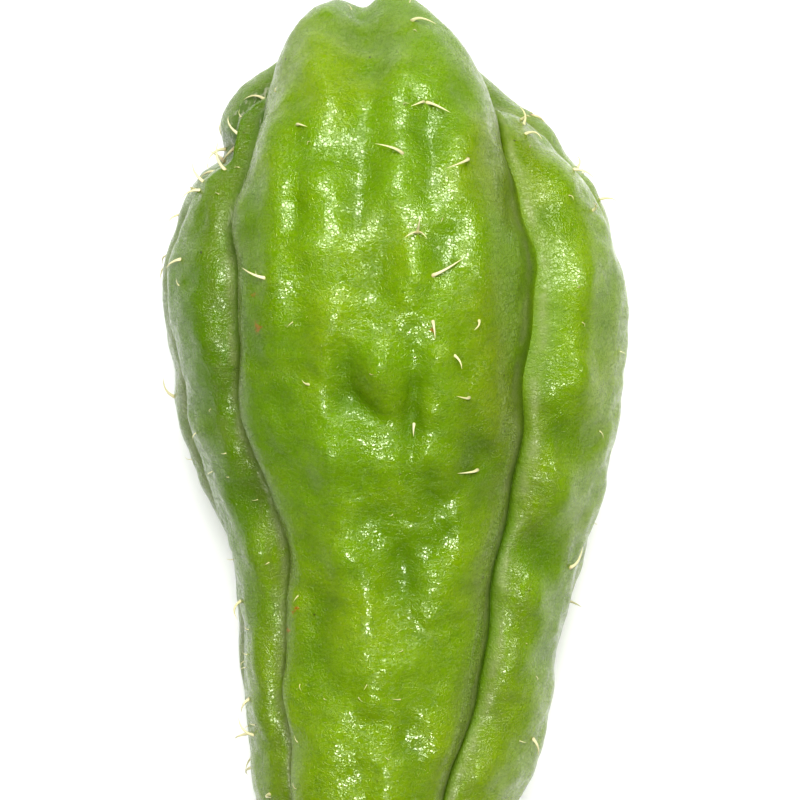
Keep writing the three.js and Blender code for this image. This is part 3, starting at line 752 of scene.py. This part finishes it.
def fruit_skin():
    """The whole grown skin, without its spines."""
    t = even_rows(ROWS)[:, None]
    lobe = np.repeat(np.arange(len(COLUMNS)), COLUMNS)
    u = np.concatenate([np.sin(np.pi * (np.arange(count) / count - 0.5)) for count in COLUMNS])
    rows, out, furrow, lump, rim = skin(t, lobe[None, :], u[None, :])
    ends = np.stack([rows[0].mean(0), rows[-1].mean(0)])
    mesh = lofted("fruit_skin", rows, ends)
    whole = np.broadcast_to(furrow, rows.shape[:2])
    store(mesh, "furrow", whole * np.clip(spline(SECTIONS, t)[..., RELIEF], 0, 1), [0, 0])
    store(mesh, "lump", lump, [0, 0])
    store(mesh, "rim", np.broadcast_to(rim, rows.shape[:2]), [0, 0])
    # Mask of the left-facing flank that gets painted shade and pale strands
    edge = np.clip((np.abs(u[None, :]) - SHADED_FLANK_FROM) / SHADED_FLANK_WIDTH, 0, 1)
    left = np.clip(-SHADED_FLANK_FACING * out[..., 0], 0, 1)
    flank_shade_and_strands = edge * left * np.exp(-((rows[..., 1] - SHADED_FLANK_ALONG) / SHADED_FLANK_HALF) ** 2)
    store(mesh, "flank_shade_and_strands", flank_shade_and_strands, [0, 0])
    return placed("fruit_skin", mesh, skin_paint())


def upper_spines(tree):
    """Foot, lean along the skin and rise off it of the upper side's spines, let down onto the skin."""
    found = []
    for x, y, lean_x, lean_y, lift in UPPER_SPINES:
        start = Vector(((x - MIDDLE[0]) * MM, (y - MIDDLE[1]) * MM, 0.2))
        foot, out, _, _ = tree.ray_cast(start, Vector((0, 0, -1)))
        lean = Vector((lean_x, lean_y, -(lean_x * out.x + lean_y * out.y) / out.z))
        found.append((foot, lean * MM, out * lift * MM, SPINE_THICK * MM))
    return found


def drawn_spines(tries, seed, length_range, lift_range, thick, up_to):
    """Foot, lean and rise of spines drawn evenly over the sides and both ends."""
    rows = even_rows(400)
    rows = rows[(rows > SPINE_FROM) & (rows < SPINE_TO)]
    i = np.arange(tries)
    t = rows[np.floor(len(rows) * draw(seed + 6 * i)).astype(int)]
    lobe = np.floor(len(LOBE_RISE) * draw(seed + 1 + 6 * i)).astype(int)
    u = 1.5 * draw(seed + 2 + 6 * i) - 0.75
    foot, out = skin(t, lobe, u)[:2]
    turn = 2 * np.pi * draw(seed + 3 + 6 * i)
    length = mix(*length_range, draw(seed + 4 + 6 * i))
    lift = mix(*lift_range, draw(seed + 5 + 6 * i))
    side = np.cross([0.0, 1.0, 0.0], out)
    side = side / np.linalg.norm(side, axis=-1, keepdims=True)
    fore = np.cross(out, side)
    lean = side * (length * np.cos(turn))[:, None] + fore * (length * np.sin(turn))[:, None]
    kept = (out[:, 2] < up_to) & (foot[:, 2] > SPINE_LOWEST)
    return [
        (Vector((foot[k] - MIDDLE) * MM), Vector(lean[k] * MM), Vector(out[k] * lift[k] * MM), thick * MM)
        for k in np.flatnonzero(kept)]


def spine_tree(material):
    """Geometry nodes that grow a spine on every point: it leaves the skin steeply and bends over its lean."""
    tree = bpy.data.node_groups.new("grown_spines", "GeometryNodeTree")
    face = tree.interface
    face.new_socket("Geometry", in_out="INPUT", socket_type="NodeSocketGeometry")
    root = face.new_socket("Root depth", in_out="INPUT", socket_type="NodeSocketFloat")
    bend = face.new_socket("Bend", in_out="INPUT", socket_type="NodeSocketFloat")
    sides = face.new_socket("Sides", in_out="INPUT", socket_type="NodeSocketInt")
    steps = face.new_socket("Steps", in_out="INPUT", socket_type="NodeSocketInt")
    face.new_socket("Geometry", in_out="OUTPUT", socket_type="NodeSocketGeometry")

    def put(socket, value):
        if isinstance(value, bpy.types.NodeSocket):
            tree.links.new(value, socket)
        else:
            socket.default_value = value

    def add(kind, settings=None, **values):
        node = tree.nodes.new(kind)
        for name, setting in (settings or {}).items():
            setattr(node, name, setting)
        for name, value in values.items():
            put(node.inputs[name.replace("_", " ")], value)
        return node

    def number(operation, first, second):
        node = add("ShaderNodeMath", {"operation": operation})
        put(node.inputs[0], first)
        put(node.inputs[1], second)
        return node.outputs[0]

    def vector(operation, first, second):
        node = add("ShaderNodeVectorMath", {"operation": operation})
        put(node.inputs[0], first)
        put(node.inputs["Scale" if operation == "SCALE" else 1], second)
        return node.outputs[0]

    def own(kind, name):
        return add("GeometryNodeInputNamedAttribute", {"data_type": kind}, Name=name).outputs[0]

    given = add("NodeGroupInput").outputs
    line = add("GeometryNodeCurvePrimitiveLine", End=(0.0, 0.0, 1.0)).outputs[0]
    stations = add("GeometryNodeResampleCurve", Curve=line, Count=given["Steps"]).outputs[0]
    planted = add("GeometryNodeInstanceOnPoints", Points=given["Geometry"], Instance=stations).outputs[0]
    apart = add("GeometryNodeRealizeInstances", Geometry=planted).outputs[0]

    along = add("GeometryNodeSplineParameter").outputs["Factor"]
    left = number("SUBTRACT", 1.0, along)
    sunk = number("MULTIPLY", number("ADD", 1.0, given["Root depth"]), number("POWER", left, 2.5))
    risen = vector("SCALE", own("FLOAT_VECTOR", "rise"), number("SUBTRACT", 1.0, sunk))
    leant = vector("SCALE", own("FLOAT_VECTOR", "lean"), number("POWER", along, given["Bend"]))
    straight = add("ShaderNodeCombineXYZ", Z=along).outputs[0]
    shift = vector("SUBTRACT", vector("ADD", risen, leant), straight)
    bent = add("GeometryNodeSetPosition", Geometry=apart, Offset=shift).outputs[0]
    kept = add("GeometryNodeStoreNamedAttribute", {"data_type": "FLOAT", "domain": "POINT"},
               Geometry=bent, Name="along", Value=along).outputs[0]

    shaft = number("MULTIPLY", number("POWER", left, 0.7), 0.42)
    foot = number("MULTIPLY", number("POWER", left, 6.0), 0.58)
    share = number("MAXIMUM", number("ADD", shaft, foot), 0.03)
    ring = add("GeometryNodeCurvePrimitiveCircle", Resolution=given["Sides"], Radius=1.0).outputs[0]
    body = add("GeometryNodeCurveToMesh", Curve=kept, Profile_Curve=ring,
               Scale=number("MULTIPLY", share, own("FLOAT", "thick")), Fill_Caps=True).outputs[0]
    smooth = add("GeometryNodeSetShadeSmooth", Geometry=body).outputs[0]
    real = add("GeometryNodeRealizeInstances", Geometry=smooth).outputs[0]
    painted = add("GeometryNodeSetMaterial", Geometry=real, Material=material).outputs[0]
    add("NodeGroupOutput", Geometry=painted)
    return tree, {root: SPINE_ROOT, bend: SPINE_BEND, sides: SPINE_SIDES, steps: SPINE_STEPS}


def spines(skin_piece):
    """All spines and bristles as one mesh, rooted in the skin."""
    tree = BVHTree.FromObject(skin_piece, bpy.context.evaluated_depsgraph_get())
    all_spines = upper_spines(tree)
    all_spines += drawn_spines(
        SPINE_TRIES, SPINE_SEED, SPINE_LENGTH, SPINE_LIFT, SPINE_THICK, SPINE_UP_TO)
    all_spines += drawn_spines(
        BRISTLE_TRIES, BRISTLE_SEED, BRISTLE_LENGTH, BRISTLE_LIFT, BRISTLE_THICK, BRISTLE_UP_TO)
    feet_places, leans, rises, thicks = zip(*all_spines)
    mesh = bpy.data.meshes.new("spine_feet")
    mesh.from_pydata(feet_places, [], [])
    for name, ways in (("lean", leans), ("rise", rises)):
        attribute = mesh.attributes.new(name, "FLOAT_VECTOR", "POINT")
        attribute.data.foreach_set("vector", np.array(ways, np.float32).ravel())
    mesh.attributes.new("thick", "FLOAT", "POINT").data.foreach_set("value", np.array(thicks, np.float32))
    feet = bpy.data.objects.new("spine_feet", mesh)
    bpy.context.scene.collection.objects.link(feet)
    modifier = feet.modifiers.new("spines", "NODES")
    group, sizes = spine_tree(spine_paint())
    modifier.node_group = group
    for socket, value in sizes.items():
        modifier[socket.identifier] = value
    grown = bpy.data.meshes.new_from_object(feet.evaluated_get(bpy.context.evaluated_depsgraph_get()))
    bpy.data.objects.remove(feet)
    grown.name = "fruit_spines"
    return placed("fruit_spines", grown, None)


def stem_stump():
    """The ridged stump, flaring towards its cut end, whose face is slightly hollow and torn."""
    share = np.linspace(0, 1, STUMP_ROWS)[:, None]
    angle = (2 * np.pi * np.arange(STUMP_COLUMNS) / STUMP_COLUMNS)[None, :]
    ridges = STUMP_RIDGE * np.cos(STUMP_RIDGES * angle)
    fibres = sum(high * np.cos(count * angle + twist * share) for count, high, twist in STUMP_FIBRES)
    reach = (STUMP_RADIUS + STUMP_FLARE * (1 - share) ** 3 + ridges + fibres) * np.minimum(1, 0.93 + 6 * share)
    rows = np.stack([
        SECTIONS[0, MID_X] + reach * np.cos(angle),
        mix(STUMP_OUT + 0.15 + 0.12 * np.cos(3 * angle) * (share < 0.02), STUMP_DEEP, share),
        SECTIONS[0, MID_Z] - SINK + reach * np.sin(angle),
    ], -1)
    edge = rows[:1]
    middle = edge.mean(axis=1, keepdims=True)
    face = [middle + (edge - middle) * part + [0, depth, 0] for part, depth in STUMP_HOLLOW]
    rows = np.concatenate([*face, rows])
    mesh = lofted("stem_stump", rows, np.stack([rows[0].mean(0), rows[-1].mean(0)]))
    cut = np.zeros(rows.shape[:2])
    cut[:len(face) + 1] = 1
    deep = np.broadcast_to(np.concatenate([np.zeros((len(face), 1)), share]), rows.shape[:2])
    store(mesh, "cut", cut, [1, 0])
    store(mesh, "deep", deep, [0, 1])
    return placed("stump_bark", mesh, stump_paint())


def floor():
    mesh = bpy.data.meshes.new("floor")
    corners = [(x * FLOOR_HALF, y * FLOOR_HALF, 0) for x, y in ((-1, -1), (1, -1), (1, 1), (-1, 1))]
    mesh.from_pydata(corners, [], [(0, 1, 2, 3)])
    return placed("floor", mesh, floor_paint())


def soft_light(name, place, size, power):
    """A soft studio light that faces the fruit, with its width and height."""
    light = bpy.data.lights.new(name, "AREA")
    light.shape = "RECTANGLE"
    light.size, light.size_y = size
    light.energy = power
    lamp = bpy.data.objects.new(name, light)
    lamp.location = place
    lamp.rotation_euler = (Vector((0, 0, 0.03)) - Vector(place)).to_track_quat("-Z", "Y").to_euler()
    bpy.context.scene.collection.objects.link(lamp)


def studio():
    """Dim white surroundings, dimmest overhead, and the soft lights."""
    world = bpy.data.worlds.new("studio")
    world.use_nodes = True
    nodes, links = world.node_tree.nodes, world.node_tree.links
    way = nodes.new("ShaderNodeTexCoord")
    height = nodes.new("ShaderNodeSeparateXYZ")
    links.new(way.outputs["Generated"], height.inputs[0])
    dimmer = nodes.new("ShaderNodeMapRange")
    links.new(height.outputs["Z"], dimmer.inputs["Value"])
    for socket, value in zip(dimmer.inputs[1:5], (0.05, 0.75, HORIZON_LIGHT, OVERHEAD_LIGHT)):
        socket.default_value = value
    links.new(dimmer.outputs[0], nodes["Background"].inputs["Strength"])
    nodes["Background"].inputs["Color"].default_value = (1, 1, 1, 1)
    bpy.context.scene.world = world
    bpy.context.scene.view_settings.view_transform = "Standard"
    bpy.context.scene.view_settings.look = "High Contrast"
    for name, place, size, power in SOFT_LIGHTS:
        soft_light(name, place, size, power)


def camera():
    """Straight down, with the picture's middle over the same point of the fruit as in the photograph."""
    data = bpy.data.cameras.new("camera")
    data.sensor_width = 36
    data.lens = 18 * (CAMERA_HEIGHT - OUTLINE_HEIGHT) / (HALF_PICTURE * PIXEL)
    data.clip_start = 0.01
    eye = bpy.data.objects.new("camera", data)
    eye.location = (-MIDDLE[0] * MM, -MIDDLE[1] * MM, CAMERA_HEIGHT)
    bpy.context.scene.collection.objects.link(eye)
    bpy.context.scene.camera = eye


camera()
studio()
floor()

fruit = fruit_skin()
fruit_spines = spines(fruit)
stump = stem_stump()
dressed = [(fruit, "fruit", "skin"), (fruit_spines, "fruit", "skin"), (stump, "stem_stump", "stem")]
for piece, node, slot in dressed:
    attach(piece, "root")
    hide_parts(node)
